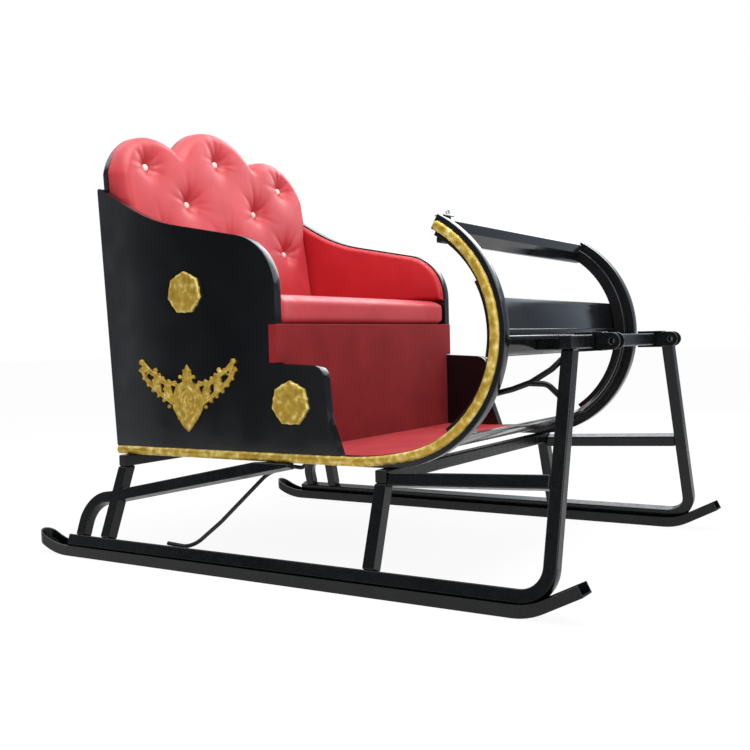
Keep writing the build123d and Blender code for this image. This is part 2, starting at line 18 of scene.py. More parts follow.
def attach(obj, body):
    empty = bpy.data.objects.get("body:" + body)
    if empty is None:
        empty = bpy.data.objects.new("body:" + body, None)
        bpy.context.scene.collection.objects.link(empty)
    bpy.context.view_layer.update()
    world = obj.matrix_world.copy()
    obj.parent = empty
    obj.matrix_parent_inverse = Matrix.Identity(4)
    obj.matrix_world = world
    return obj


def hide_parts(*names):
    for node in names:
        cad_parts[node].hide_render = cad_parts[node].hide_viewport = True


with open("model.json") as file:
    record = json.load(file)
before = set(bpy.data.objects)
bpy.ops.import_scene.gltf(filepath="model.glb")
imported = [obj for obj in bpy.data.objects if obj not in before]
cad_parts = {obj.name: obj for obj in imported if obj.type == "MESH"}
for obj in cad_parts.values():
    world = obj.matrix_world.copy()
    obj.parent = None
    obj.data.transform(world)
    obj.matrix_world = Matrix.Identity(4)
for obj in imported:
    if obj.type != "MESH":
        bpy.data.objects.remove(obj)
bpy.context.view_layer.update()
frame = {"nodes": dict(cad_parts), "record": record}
random.seed(7)
print("CAD pieces loaded:", len(frame["nodes"]))

# %% [markdown]
# ## The camera
# The picture is taken from the sleigh's right front, 0.65 m above the ground, with the camera
# nearly level. Its matrix is built from the three turns that a photographer would name, because
# that keeps the small roll that a hand-held camera has.

# %% Camera
def stand(name, data):
    """A new object of the scene, made from its mesh, camera or lamp."""
    thing = bpy.data.objects.new(name, data)
    bpy.context.scene.collection.objects.link(thing)
    return thing


def aim_camera(position, yaw, pitch, roll, lens):
    """Places a camera by its turns in degrees: yaw about the vertical, pitch down, roll."""
    yaw, pitch, roll = (math.radians(angle) for angle in (yaw, pitch, roll))
    up = Vector((0, 0, 1))
    right = Vector((math.cos(yaw), math.sin(yaw), 0))
    forward = Vector((-math.sin(yaw), math.cos(yaw), 0))
    aim = forward * math.cos(pitch) - up * math.sin(pitch)
    level_top = up * math.cos(pitch) + forward * math.sin(pitch)
    side = right * math.cos(roll) + level_top * math.sin(roll)
    top = level_top * math.cos(roll) - right * math.sin(roll)
    camera = stand("camera", bpy.data.cameras.new("camera"))
    camera.matrix_world = Matrix((
        (side.x, top.x, -aim.x, position[0]),
        (side.y, top.y, -aim.y, position[1]),
        (side.z, top.z, -aim.z, position[2]),
        (0, 0, 0, 1),
    ))
    camera.data.sensor_width = 36
    camera.data.lens = lens
    return camera


bpy.context.scene.camera = aim_camera(position=(1.7013, -2.7375, 0.6525), yaw=32.277,
                                      pitch=1.989, roll=-1.361, lens=47.47)
print("lens", bpy.context.scene.camera.data.lens, "mm")

# %% [markdown]
# ## Points and meshes
# The sleigh's drawing is in millimetres, with X measured forwards from the front bend of the
# runners, and Blender works in metres from the sleigh's middle. `at` turns one into the other, so
# a place below is one that a maker could measure on the sleigh. Where a soft or carved piece comes
# in pairs, the right one is built and the left one is its mirror image.

# %% Points and meshes
bend_to_middle = 772.0
wall_face = 523.0


def at(x, y, z):
    """A point of the drawing, in millimetres, as a point of the scene."""
    return ((x + bend_to_middle) / 1000, y / 1000, z / 1000)


def new_piece(name, points, faces):
    """A smooth mesh piece from points in metres and the faces between them."""
    mesh = bpy.data.meshes.new(name)
    mesh.from_pydata([tuple(p) for p in points], [], faces)
    shell = bmesh.new()
    shell.from_mesh(mesh)
    bmesh.ops.recalc_face_normals(shell, faces=shell.faces)
    shell.to_mesh(mesh)
    shell.free()
    mesh.shade_smooth()
    return stand(name, mesh)


def from_shell(name, shell):
    """A piece from a finished bmesh, which is freed."""
    mesh = bpy.data.meshes.new(name)
    shell.to_mesh(mesh)
    shell.free()
    return stand(name, mesh)


def settle(piece):
    """Turns a piece's modifiers into plain mesh."""
    bpy.context.view_layer.update()
    graph = bpy.context.evaluated_depsgraph_get()
    mesh = bpy.data.meshes.new_from_object(piece.evaluated_get(graph))
    piece.modifiers.clear()
    piece.data = mesh
    mesh.shade_smooth()
    return piece


def mirrored(piece, name):
    """The same piece on the sleigh's other side."""
    mesh = piece.data.copy()
    mesh.transform(Matrix.Diagonal((1, -1, 1, 1)))
    mesh.flip_normals()
    return stand(name, mesh)


print("the runners bend", at(0, 0, 0)[0], "m in front of the middle")

# %% [markdown]
# ## Colours and nodes
# Paint and cloth colours are written as the hex codes a colour card gives. Blender mixes light in
# linear values, so one function turns a code into them. A second one adds any shader node with its
# settings, its colour stops and its links, which keeps each material below readable from top to
# bottom. A pattern's scale counts its repeats in a metre, and `per` works it out from their real
# size in millimetres.

# %% Colour and node helpers
def linear(code):
    """A hex colour as linear red, green, blue and alpha."""
    parts = [int(code[i:i + 2], 16) / 255 for i in (1, 3, 5)]
    return [p / 12.92 if p < 0.04045 else ((p + 0.055) / 1.055) ** 2.4 for p in parts] + [1]


def per(millimetres):
    """The scale of a pattern whose repeats are this far apart."""
    return 1000 / millimetres


def add(tree, kind, inputs=None, stops=(), **settings):
    """Adds a node, sets its own settings and colour stops, and sets or links its inputs."""
    node = tree.nodes.new("ShaderNode" + kind)
    for name, value in settings.items():
        setattr(node, name, value)
    for number, (position, code) in enumerate(stops):
        bar = node.color_ramp.elements
        while number == 0 and len(bar) > 1:
            bar.remove(bar[-1])
        stop = bar[0] if number == 0 else bar.new(position)
        stop.position, stop.color = position, linear(code)
    for socket, value in (inputs or {}).items():
        if isinstance(value, bpy.types.NodeSocket):
            tree.links.new(value, node.inputs[socket])
        else:
            node.inputs[socket].default_value = value
    return node


def new_material(name):
    """An empty material, its node tree, and the piece's own coordinates in metres."""
    material = bpy.data.materials.new(name)
    material.use_nodes = True
    tree = material.node_tree
    tree.nodes.clear()
    return material, tree, add(tree, "TexCoord").outputs["Object"]


def coat(tree, inputs):
    """Closes a material with one shader, its inputs set or linked."""
    shader = add(tree, "BsdfPrincipled", inputs)
    add(tree, "OutputMaterial", {"Surface": shader.outputs["BSDF"]})


print("mid grey in linear values:", round(linear("#808080")[0], 3))

# %% [markdown]
# ## Black lacquer on the tub
# The body panels are boards with several coats of glossy black lacquer, rubbed down by hand. The
# eye gets a deep black, soft clear reflections, a very slight waviness from the board, and a
# fine spray grain near 2 mm that only shows where a lamp grazes it.

# %% Black lacquer
def black_lacquer():
    material, tree, place = new_material("black lacquer on board")
    cloud = add(tree, "TexNoise", {"Vector": place, "Scale": per(333), "Detail": 3.0})
    paint = add(tree, "ValToRGB", {"Fac": cloud.outputs["Fac"]}, [(0.3, "#090A0B"), (0.7, "#121315")])
    haze = add(tree, "TexNoise", {"Vector": place, "Scale": per(91), "Detail": 4.0})
    rough = add(tree, "MapRange", {"Value": haze.outputs["Fac"], "From Min": 0.3, "From Max": 0.7,
                                   "To Min": 0.1, "To Max": 0.2})
    wave = add(tree, "TexNoise", {"Vector": place, "Scale": per(200), "Detail": 1.0})
    grain = add(tree, "TexNoise", {"Vector": place, "Scale": per(2), "Detail": 1.0})
    slow = add(tree, "Bump", {"Height": wave.outputs["Fac"], "Strength": 0.25, "Distance": 0.004})
    fine = add(tree, "Bump", {"Height": grain.outputs["Fac"], "Strength": 0.03,
                              "Distance": 0.0004, "Normal": slow.outputs["Normal"]})
    coat(tree, {"Base Color": paint.outputs["Color"], "Roughness": rough.outputs["Result"],
                "Normal": fine.outputs["Normal"]})
    return material


lacquer = black_lacquer()
print("made", lacquer.name)

# %% [markdown]
# ## Black paint on the steel frame
# The frame and runners are welded steel with a semi-gloss black paint. It is duller than the
# lacquer, shows faint scuffs, and has a texture like fine orange peel about 1.5 mm across.

# %% Painted steel
def painted_steel():
    material, tree, place = new_material("semi-gloss black paint on steel")
    cloud = add(tree, "TexNoise", {"Vector": place, "Scale": per(111), "Detail": 5.0})
    paint = add(tree, "ValToRGB", {"Fac": cloud.outputs["Fac"]}, [(0.3, "#060708"), (0.72, "#0F1113")])
    scuff = add(tree, "TexNoise", {"Vector": place, "Scale": per(16.7), "Detail": 6.0})
    rough = add(tree, "MapRange", {"Value": scuff.outputs["Fac"], "From Min": 0.35, "From Max": 0.7,
                                   "To Min": 0.2, "To Max": 0.36})
    peel = add(tree, "TexNoise", {"Vector": place, "Scale": per(1.54), "Detail": 1.0})
    bump = add(tree, "Bump", {"Height": peel.outputs["Fac"], "Strength": 0.06, "Distance": 0.0005})
    coat(tree, {"Base Color": paint.outputs["Color"], "Roughness": rough.outputs["Result"],
                "Normal": bump.outputs["Normal"], "Specular IOR Level": 0.28})
    return material


steel = painted_steel()
print("made", steel.name)

# %% [markdown]
# ## Red leatherette
# Seat, back and side linings are a soft vinyl-coated cloth, pressed with a leather grain of about
# 1.5 mm cells. It gives broad pinkish highlights on its crowns, a deep red in its folds, and
# small changes of tone where hands have rubbed it.

# %% Leatherette
def leatherette(name, deep, bright):
    """Leatherette that wanders between a deep and a bright tone."""
    material, tree, place = new_material(name)
    cloud = add(tree, "TexNoise", {"Vector": place, "Scale": per(166.7), "Detail": 4.0})
    dye = add(tree, "ValToRGB", {"Fac": cloud.outputs["Fac"]}, [(0.3, deep), (0.7, bright)])
    shine = add(tree, "TexNoise", {"Vector": place, "Scale": per(40), "Detail": 3.0})
    rough = add(tree, "MapRange", {"Value": shine.outputs["Fac"], "From Min": 0.3, "From Max": 0.7,
                                   "To Min": 0.38, "To Max": 0.5})
    cells = add(tree, "TexVoronoi", {"Vector": place, "Scale": per(1.54)})
    bump = add(tree, "Bump", {"Height": cells.outputs["Distance"], "Strength": 0.18,
                              "Distance": 0.0006})
    coat(tree, {"Base Color": dye.outputs["Color"], "Roughness": rough.outputs["Result"],
                "Normal": bump.outputs["Normal"], "Specular IOR Level": 0.42, "Sheen Weight": 0.06,
                "Sheen Roughness": 0.4, "Sheen Tint": linear("#FFD9D9")})
    return material


red_vinyl = leatherette("red leatherette", "#B42F35", "#C43D44")
# The linings' copy is darker and a deeper red: painted shade on the same leatherette that covers the
# seat and back.
shaded_lining_vinyl = leatherette("leatherette with painted shade", "#B71B23", "#C82A32")
print("made", red_vinyl.name, "and", shaded_lining_vinyl.name)

# %% [markdown]
# ## Felt and carpet
# The board under the seat is covered with red felt, and the floor with a short cut pile of the
# same colour family. Both are rough all the way. The felt's fibres are about 1 mm apart and the
# pile's tufts 2.5 mm, drawn a little coarse so that they show at this distance.

# %% Felt and carpet
def red_cloth(name, deep, bright, tuft_size, height):
    """A cloth with tufts of a size in millimetres and a height in metres."""
    material, tree, place = new_material(name)
    tuft = add(tree, "TexNoise", {"Vector": place, "Scale": per(tuft_size), "Detail": 3.0,
                                  "Roughness": 0.65})
    patch = add(tree, "TexNoise", {"Vector": place, "Scale": per(125), "Detail": 3.0})
    both = add(tree, "Math", {0: tuft.outputs["Fac"], 1: patch.outputs["Fac"]}, operation="ADD")
    half = add(tree, "Math", {0: both.outputs["Value"], 1: 0.5}, operation="MULTIPLY")
    dye = add(tree, "ValToRGB", {"Fac": half.outputs["Value"]}, [(0.38, deep), (0.62, bright)])
    bump = add(tree, "Bump", {"Height": tuft.outputs["Fac"], "Strength": 0.5, "Distance": height})
    coat(tree, {"Base Color": dye.outputs["Color"], "Roughness": 0.95,
                "Normal": bump.outputs["Normal"], "Specular IOR Level": 0.15,
                "Sheen Weight": 0.08, "Sheen Tint": linear("#FFC4C4")})
    return material


felt = red_cloth("dark red felt", "#7A191D", "#8D2427", 1.11, 0.001)
carpet = red_cloth("short red carpet", "#9C2329", "#AE333A", 2.5, 0.003)
print("made", felt.name, "and", carpet.name)

# %% [markdown]
# ## Gilt
# The mouldings and ornaments are cast and then coated with gold paint by hand. The paint is
# blotchy over about two centimetres and pitted over four millimetres. On top of that, painted
# shade makes it browner in the hollows and a painted highlight brighter on the high spots,
# driven by the shape itself through Geometry's Pointiness, so they follow every bead and leaf.

# %% Gilt
def gilt():
    material, tree, place = new_material("gold paint on casting")
    blotch = add(tree, "TexNoise", {"Vector": place, "Scale": per(18.2), "Detail": 2.0,
                                    "Roughness": 0.4})
    # Pointiness gives painted shade in the hollows and a painted highlight on the ridges.
    shape = add(tree, "NewGeometry")
    edge = add(tree, "MapRange", {"Value": shape.outputs["Pointiness"], "From Min": 0.46,
                                  "From Max": 0.54, "To Min": -0.1, "To Max": 0.16})
    blotch_and_painted_shading = add(tree, "Math", {0: blotch.outputs["Fac"], 1: edge.outputs["Result"]},
               operation="ADD")
    paint = add(tree, "ValToRGB", {"Fac": blotch_and_painted_shading.outputs["Value"]}, [
        (0.2, "#86681A"), (0.42, "#AC8A2A"), (0.58, "#BA9A36"), (0.8, "#E4D084")])
    rough = add(tree, "MapRange", {"Value": blotch.outputs["Fac"], "From Min": 0.3,
                                   "From Max": 0.7, "To Min": 0.38, "To Max": 0.5})
    pits = add(tree, "TexNoise", {"Vector": place, "Scale": per(3.85), "Detail": 2.0})
    bump = add(tree, "Bump", {"Height": pits.outputs["Fac"], "Strength": 0.03,
                              "Distance": 0.0008})
    coat(tree, {"Base Color": paint.outputs["Color"], "Roughness": rough.outputs["Result"],
                "Normal": bump.outputs["Normal"], "Metallic": 0.4})
    return material


gold = gilt()
print("made", gold.name)

# %% [markdown]
# ## Small finishes
# Buttons are covered with a pearly shell under clear varnish, the rein eye on the dash is
# zinc-plated steel, and the cable under the floor has a matt rubber sheath. Each differs only in
# tone, gloss and grain, so one function makes all three.

# %% Pearl, zinc and rubber
def plain_finish(name, dark, light, grain_size, strength, extra):
    """A finish with one grain, between two tones, and the shader's other inputs."""
    material, tree, place = new_material(name)
    cloud = add(tree, "TexNoise", {"Vector": place, "Scale": per(grain_size), "Detail": 3.0})
    tone = add(tree, "ValToRGB", {"Fac": cloud.outputs["Fac"]}, [(0.3, dark), (0.7, light)])
    bump = add(tree, "Bump", {"Height": cloud.outputs["Fac"], "Strength": strength,
                              "Distance": 0.0005})
    coat(tree, {"Base Color": tone.outputs["Color"], "Normal": bump.outputs["Normal"]} | extra)
    return material


pearl = plain_finish("pearl shell", "#EFD9CF", "#FFF4EA", 3.33, 0.1,
                     {"Roughness": 0.15, "Coat Weight": 0.6})
zinc = plain_finish("bright zinc plate", "#9EA3A6", "#C6CACC", 2.5, 0.2,
                    {"Roughness": 0.3, "Metallic": 1.0})
rubber = plain_finish("black rubber sheath", "#0F0F10", "#1B1B1C", 1.43, 0.4, {"Roughness": 0.6})
print("made", pearl.name, zinc.name, rubber.name)

# %% [markdown]
# ## Finishes for the CAD pieces
# Hard pieces keep their CAD shape. Real boards and tubes have no knife edges, so a bevel modifier
# rounds theirs by a few millimetres. The glTF import splits vertices along sharp edges, and a
# weld modifier joins them first. The back board stays sharp, because a bevel along its lobes
# shades its wide rear face unevenly.

# %% Dress the CAD pieces
finishes = {
    "black_steel": (steel, 4.5),
    "black_lacquer": (lacquer, 2.0),
    "red_board": (felt, 2.0),
    "red_carpet": (carpet, 2.0),
    "red_leatherette": (red_vinyl, 0),
    "gold_paint": (gold, 0),
    "cable_rubber": (rubber, 0),
}
own_edges = {"back_board": 0, "dash_lip": 6.0, "dash_top_board": 3.5, "dash_lower_bar": 5.0}
slots = {part["node"]: part["material_slot"] for part in frame["record"]["subparts"]}
for name, node in frame["nodes"].items():
    material, slot_edge = finishes[slots[name]]
    node.data.materials.clear()
    node.data.materials.append(material)
    edge = own_edges.get(name, slot_edge)
    if edge:
        weld = node.modifiers.new("weld", "WELD")
        weld.merge_threshold = 0.00002
        bevel = node.modifiers.new("edges", "BEVEL")
        bevel.width = edge / 1000
        bevel.segments = 3
        bevel.limit_method = "ANGLE"
        bevel.angle_limit = math.radians(35)
        bevel.harden_normals = True
print("dressed", len(slots), "pieces")

# %% [markdown]
# ## Padded sheets
# The back cushion and the side linings are foam under stretched leatherette. Each is built as a
# grid over its outline, with points closer together near the rim. The height of each point comes
# from its distance to the outline, so the rim rolls over evenly round every lobe.

# %% Padded sheet builder
def closer_at_ends(count, share=0.75):
    """Numbers from 0 to 1 that crowd together at both ends."""
    t = np.linspace(0, 1, count)
    return share * (0.5 - 0.5 * np.cos(np.pi * t)) + (1 - share) * t


def distance_to(outline, points):
    """How far each point is from a closed outline."""
    best = np.full(len(points), 1e9)
    for p, q in zip(outline, np.roll(outline, -1, axis=0)):
        run = q - p
        t = np.clip(((points - p) @ run) / (run @ run + 1e-9), 0, 1)
        best = np.minimum(best, np.hypot(*(points - p - t[:, None] * run).T))
    return best


def rolled_rim(distance, width):
    """The quarter circle by which a cover rises from its rim: 0 there, 1 from `width` inwards."""
    return np.sqrt(1 - (1 - np.clip(distance / width, 0, 1)) ** 2)


def padded_sheet(name, across, low, high, rows, front, back):
    """A closed pad: columns at `across` run from `low` to `high`, front and back place them."""
    columns = len(across)
    v = low + np.outer(closer_at_ends(rows), high(across) - low)
    u = np.tile(across, (rows, 1))
    index = np.arange(rows * columns).reshape(rows, columns)
    rim = np.concatenate([index[0, :], index[1:, -1], index[-1, -2::-1], index[-2:0:-1, 0]])
    flat = np.column_stack([u.ravel(), v.ravel()])
    depth = distance_to(flat[rim], flat)
    points = np.vstack([front(flat[:, 0], flat[:, 1], depth), back(*flat[rim].T)])
    faces = np.column_stack([index[:-1, :-1].ravel(), index[:-1, 1:].ravel(),
                             index[1:, 1:].ravel(), index[1:, :-1].ravel()]).tolist()
    first = rows * columns
    for i, a in enumerate(rim):
        j = (i + 1) % len(rim)
        faces.append([int(a), int(rim[j]), first + j, first + i])
    faces.append([first + i for i in range(len(rim))])
    return new_piece(name, points, faces)


def arc(a, b, c, count):
    """Points along the arc through three points."""
    (ax, ay), (bx, by), (cx, cy) = a, b, c
    d = 2 * (ax * (by - cy) + bx * (cy - ay) + cx * (ay - by))
    sa, sb, sc = ax * ax + ay * ay, bx * bx + by * by, cx * cx + cy * cy
    mx = (sa * (by - cy) + sb * (cy - ay) + sc * (ay - by)) / d
    my = (sa * (cx - bx) + sb * (ax - cx) + sc * (bx - ax)) / d
    radius = math.hypot(ax - mx, ay - my)
    angles = np.unwrap([math.atan2(y - my, x - mx) for x, y in (a, b, c)])
    turn = np.linspace(angles[0], angles[2], count)
    return np.column_stack([mx + radius * np.cos(turn), my + radius * np.sin(turn)])


cushion_foot = 795.6
print("grid places across a unit:", closer_at_ends(5).round(2).tolist())

# %% [markdown]
# ## Buttons and creases of the back
# Eight pearl buttons pull the cover into the foam. Round each one the cover dips in a funnel, and
# a fan of short creases runs out from it, longest towards the top, where the cover is tight.
# A simulation would need each button tied down, so the funnels and creases are written as
# depths, which puts them just where they are on the real back. Seeded chance varies the creases.

# %% Buttons and creases
buttons = [(0, 1296), (-354, 1240), (354, 1240), (-180, 1132), (180, 1132), (-348, 991),
           (0, 991), (348, 991)]
crease_angles = (-12, 14, 48, 78, 102, 134, 166, 194)
funnel_depth, funnel_radius, upward_stretch = 40, 26, 12
crease_width, crease_spread, crease_start = 2.5, 0.09, 10
creases = []
for y, z in buttons:
    for angle in crease_angles:
        upward = 0.5 + 0.5 * math.sin(math.radians(angle))
        direction = math.radians(angle + random.uniform(-9, 9))
        length = (40 + 44 * upward) * random.uniform(0.75, 1.2)
        pull = (2.0 + 5.0 * upward) * random.uniform(0.7, 1.2)
        creases.append((y, z, direction, length, pull))


def buttoned_depth(y, z):
    """How deep the buttons and creases pull the cover in, in millimetres."""
    depth = np.zeros_like(y)
    for by, bz in buttons:
        r = np.hypot(y - by, z - bz)
        upward = np.clip((z - bz) / (r + 1), 0, 1)
        depth += funnel_depth / (1 + (r / (funnel_radius + upward_stretch * upward)) ** 2) ** 1.3
    for by, bz, direction, length, pull in creases:
        along = (y - by) * math.cos(direction) + (z - bz) * math.sin(direction)
        aside = -(y - by) * math.sin(direction) + (z - bz) * math.cos(direction)
        reach = np.clip(along, 0, None)
        width = crease_width + crease_spread * reach
        fold = np.exp(-(aside / width) ** 2) * np.exp(-(reach / length) ** 2)
        depth += np.where(along > 0, pull * fold * reach / (reach + crease_start), 0)
    return depth


print("creases:", len(creases))

# %% [markdown]
# ## The buttoned back
# The back leans, is scalloped in three lobes, and goes round the edge of its board above the
# walls. Below, it is a little narrower, where it passes between the side linings. Its top line has
# an arc for the crest and one for each side lobe, which meet in the valleys. The cover is a
# padded sheet, with the buttons' depths taken off it.

# %% Back cushion
shoulder, lobe_crown, valley, crest_crown = (490, 1207), (345, 1345), (196, 1311), (0, 1411)
back_width = 979
board_x, board_z, board_lean = -1424.7, 314, 0.0672
cover_x, cover_z, cover_lean = -1362, 795, 0.1488
rim_width, rim_thickness, thinnest = 36, 5, 3
crown_height, crown_reach = 9, 80
board_wrap, wrap_from, wrap_run = 15, 1195, 30
squeeze, squeeze_from, squeeze_run = 0.044, 1125, 70


def back_top(y):
    """The height of the scalloped top, just past the board's edge, at a distance from the middle."""
    steps = 80
    lobe = arc(shoulder, lobe_crown, valley, steps)[::-1]
    crest = arc(valley, crest_crown, (-valley[0], valley[1]), 2 * steps + 1)[::-1]
    line = np.vstack([crest[steps:], lobe[1:]])
    return np.interp(np.abs(y), line[:, 0], line[:, 1])


def back_rear_x(z):
    """The leaning plane between the cushion and its board."""
    return board_x - board_lean * (z - board_z)


def between_linings(y, z):
    """The cover is narrower below, where it passes between the side linings."""
    return y * (1 - squeeze * np.clip((squeeze_from - z) / squeeze_run, 0, 1))


def back_front(y, z, rim):
    """The cover's front: a rolled rim, a low crown, a slow ripple, and the buttons' depths."""
    full = cover_x - cover_lean * (z - cover_z) - back_rear_x(z)
    roll = rolled_rim(rim, rim_width)
    crown = crown_height * (1 - np.exp(-rim / crown_reach))
    ripple = 1.5 * np.sin(y / 61 + 1) * np.sin(z / 73)
    height = rim_thickness + (full - rim_thickness + crown + ripple - buttoned_depth(y, z)) * roll
    x = back_rear_x(z) + np.clip(height, thinnest, None)
    return np.column_stack(at(x, between_linings(y, z), z))


def back_rear(y, z):
    """Above the shoulders the cover goes round the board's edge."""
    wrap = board_wrap * np.clip((z - wrap_from) / wrap_run, 0, 1)
    return np.column_stack(at(back_rear_x(z) - wrap, between_linings(y, z), z))


back_columns = back_width * (closer_at_ends(250) - 0.5)
back_pad = padded_sheet("back_cushion_soft", back_columns, cushion_foot, back_top, 150,
                        back_front, back_rear)
back_pad.data.materials.append(red_vinyl)
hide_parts("back_cushion")
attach(back_pad, "root")
print("back cushion faces:", len(back_pad.data.polygons))

# %% [markdown]
# ## Pearl buttons
# Each button is a shallow dome, 25 mm across, that faces forwards and a little up. It sits in its
# funnel, at the depth that the cover has there, so it moves with the cover's formula.

# %% Pearl buttons
def dome(name, centre, facing, radius, height):
    """A button: a flattened dome turned to face a direction."""
    shell = bmesh.new()
    bmesh.ops.create_uvsphere(shell, u_segments=20, v_segments=12, radius=radius / 1000)
    bmesh.ops.scale(shell, vec=(1, 1, height / radius), verts=shell.verts)
    turn = Vector(facing).to_track_quat("Z", "Y").to_matrix().to_4x4()
    bmesh.ops.transform(shell, matrix=Matrix.Translation(centre) @ turn, verts=shell.verts)
    piece = from_shell(name, shell)
    piece.data.shade_smooth()
    return piece


button_radius, button_height = 12.5, 8.0
far_from_rim = np.array([200.0])
for number, (y, z) in enumerate(buttons):
    funnel_floor = back_front(np.array([y * 1.0]), np.array([z * 1.0]), far_from_rim)[0]
    button = dome(f"pearl_button_{number + 1}", funnel_floor + np.array([0.006, 0, 0.001]),
                  (1, 0, 0.13), button_radius, button_height)
    button.data.materials.append(pearl)
    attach(button, "root")
print("buttons:", len(buttons))

# %% [markdown]
# ## Side linings
# Each wall has a thin padded lining inside, cut to the wall's falling line and held back from its
# edge. It is the same kind of padded sheet, without buttons. Its rear end leans with the back.

# %% Side pads
wall_inside, rim_step, lining_thickness = 492.7, 3, 16
lining_rear_x, lining_length = -1425, 621
lining_front_x = lining_rear_x + lining_length
lining_lean, edge_margin = 0.07, 5.2
lining_rim, lining_crown, lining_crown_reach = 16, 3, 60


def wall_line():
    """The wall's top edge, less its margin: it falls, levels out, and turns down in front."""
    dip = arc((-1369, 1087), (-1276, 1044), (-1177, 1015.6), 30)
    crest = arc((-935, 967.4), (-842, 912), (-804, 802), 60)
    line = np.vstack([(-1500, 1162), dip, crest])
    line[:, 1] -= edge_margin
    return line


def rear_lean(x, z):
    """How far the lining's rear edge leans back with the back board."""
    return lining_lean * (z - cover_z) * np.clip((lining_front_x - x) / lining_length, 0, 1)


def lining_top(x):
    """The lining's top edge, with the wall's line taken where the lean brings it."""
    line = wall_line()
    level = np.interp(x, line[:, 0], line[:, 1])
    return np.interp(x - rear_lean(x, level), line[:, 0], line[:, 1])


def lining_point(x, y, z):
    """A point of the lining, leaned back with the back board."""
    return np.column_stack(at(x - rear_lean(x, z), y + 0 * x, z))


def lining_front(x, z, rim):
    """The lining's soft side, which faces the riders' seat."""
    crown = lining_crown * (1 - np.exp(-rim / lining_crown_reach))
    ripple = 0.8 * np.sin(x / 47) * np.sin(z / 39)
    raised = rim_step + (lining_thickness + crown + ripple) * rolled_rim(rim, lining_rim)
    return lining_point(x, -(wall_inside - raised), z)


def lining_back(x, z):
    """The lining's flat side, on the wall."""
    return lining_point(x, -wall_inside + 0 * x, z)


lining_columns = lining_rear_x + lining_length * closer_at_ends(120)
lining = padded_sheet("side_pad_right_soft", lining_columns, cushion_foot, lining_top, 60,
                      lining_front, lining_back)
lining.data.materials.append(shaded_lining_vinyl)
for piece, node in ((lining, "side_pad_right"),
                    (mirrored(lining, "side_pad_left_soft"), "side_pad_left")):
    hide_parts(node)
    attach(piece, "root")
print("lining faces:", len(lining.data.polygons))

# %% [markdown]
# ## The seat cushion
# The seat is one thick foam block in a leatherette case. Here the case starts a little small, and
# Blender's cloth simulation blows it up from inside, which crowns the top and rounds the front.
# A cap on how far each point may move keeps the case from turning into a ball.

# %% Seat case
def swell(piece, voxel, pressure, cap):
    """Blows up a closed case with cloth pressure, then keeps each point near its start.
    """
    remesh = piece.modifiers.new("even mesh", "REMESH")
    remesh.mode = "VOXEL"
    remesh.voxel_size = voxel / 1000
    settle(piece)
    start = np.array([v.co for v in piece.data.vertices])
    cloth = piece.modifiers.new("cloth", "CLOTH")
    cloth.settings.use_pressure = True
    cloth.settings.uniform_pressure_force = pressure
    cloth.settings.effector_weights.gravity = 0
    cloth.settings.quality = 4
    for step in range(1, 21):
        bpy.context.scene.frame_set(step)
    settle(piece)
    end = np.array([v.co for v in piece.data.vertices])
    move = end - start
    length = np.linalg.norm(move, axis=1, keepdims=True)
    held = start + move * np.minimum(1, cap / 1000 / np.maximum(length, 1e-9))
    for vertex, place in zip(piece.data.vertices, held):
        vertex.co = place
    bpy.context.scene.frame_set(1)
    return piece


seat_size, seat_middle = np.array([646, 980, 76]) / 1000, Vector(at(-1129, 0, 747))
case = bmesh.new()
bmesh.ops.create_cube(case, size=1.0)
for vertex in case.verts:
    vertex.co = seat_middle + Vector(seat_size * np.array(vertex.co))
bmesh.ops.bevel(case, geom=case.edges[:], offset=0.017, segments=5, affect="EDGES", profile=0.5)
seat = from_shell("seat_cushion_soft", case)
swell(seat, voxel=8.0, pressure=4.0, cap=14)
print("points in the seat's case:", len(seat.data.vertices))

# %% [markdown]
# ## Fitting the seat
# The swollen case is fitted as an upholsterer would: its two front corners are drawn out to the
# walls, it is held within the space between walls, deck and back, and its top edge is pressed
# down all round, so that only the middle crowns.

# %% Seat fit
seat_low, seat_high = Vector(at(-1452, -492, 707.2)), Vector(at(-798, 492, 803))
corner_y, corner_x = 0.38, -0.12
corner_pull, corner_widening = 0.022, 0.02
edge_height, crown_rise = 0.791, 0.01


def rise(value, start, run):
    """From 0 at the start to 1 after the run."""
    return min(max((value - start) / run, 0), 1)


for vertex in seat.data.vertices:
    corner = rise(abs(vertex.co.y), corner_y, 0.1) ** 2 * rise(vertex.co.x, corner_x, 0.08) ** 2
    vertex.co.x += corner_pull * corner
    vertex.co.y *= 1 + corner_widening * corner
    vertex.co = [min(max(c, a), b) for c, a, b in zip(vertex.co, seat_low, seat_high)]
    inside = min(seat_high.y - abs(vertex.co.y), vertex.co.x - seat_low.x,
                 seat_high.x - vertex.co.x)
    vertex.co.z = min(vertex.co.z, edge_height + crown_rise * rise(inside, 0.03, 0.1))
finer = seat.modifiers.new("finer", "SUBSURF")
finer.levels = finer.render_levels = 1
settle(seat)
seat.data.materials.append(red_vinyl)
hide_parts("seat_cushion")
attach(seat, "root")
print("seat cushion faces:", len(seat.data.polygons))

# %% [markdown]
# ## Gilt mouldings
# A half-round moulding runs along the foot of each wall and round the curl. It is drawn as one
# section carried along the rail's own line, with a slow unevenness from hand finishing and a
# rounded end at the top of the curl. The line is a straight sill, a long sweep, and the curl.

# %% Moulding line
sill_height, sill_from = 327.0, -1443
sweep_x, sweep_z, sweep_radius = -568.3, 1227, 900
curl_x, curl_z, curl_radius = -442, 664, 323
sweep_end, curl_end = -77.36, 61


def turned(x, z, radius, angle):
    """A station on a circle: place along X, height, and the outward normal."""
    c, s = math.cos(math.radians(angle)), math.sin(math.radians(angle))
    return (x + radius * c, z + radius * s, c, s)


